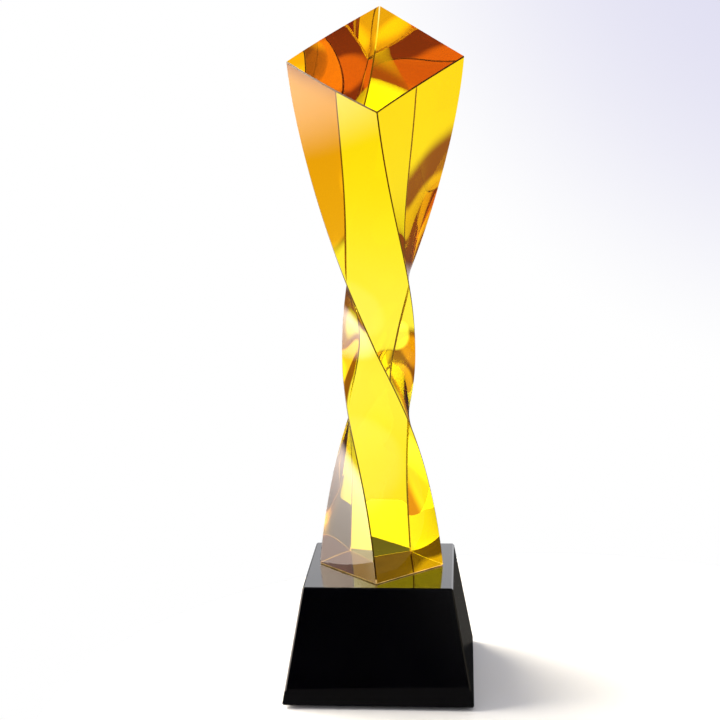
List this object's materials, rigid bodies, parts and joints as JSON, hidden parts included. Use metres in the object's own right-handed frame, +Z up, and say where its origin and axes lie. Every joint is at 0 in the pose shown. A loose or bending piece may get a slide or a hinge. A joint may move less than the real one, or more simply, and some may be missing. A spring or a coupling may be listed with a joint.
{
  "type": "column trophy",
  "caption": "Twisted square column of amber crystal with a slanted top, glued on a black crystal plinth with clear bumper feet.",
  "frame": {"origin": "centre of the trophy's footprint, at the height of the table it stands on", "axes": "+Z up along the column's centre line, -Y to the front, which the slanted top leans down to, +X to the right seen from the front"},
  "size_m": [0.0798, 0.0798, 0.2887],
  "materials": {
    "amber_crystal": "polished, clear amber all through",
    "clear_glue": "thin clear film, cured",
    "black_crystal": "polished, solid black, high gloss",
    "clear_silicone": "soft, clear, satin"
  },
  "bodies": {
    "root": {"twisted_column": "amber_crystal", "adhesive_bond": "clear_glue", "plinth": "black_crystal", "foot_front_left": "clear_silicone", "foot_front_right": "clear_silicone", "foot_back_left": "clear_silicone", "foot_back_right": "clear_silicone"}
  },
  "joints": []
}
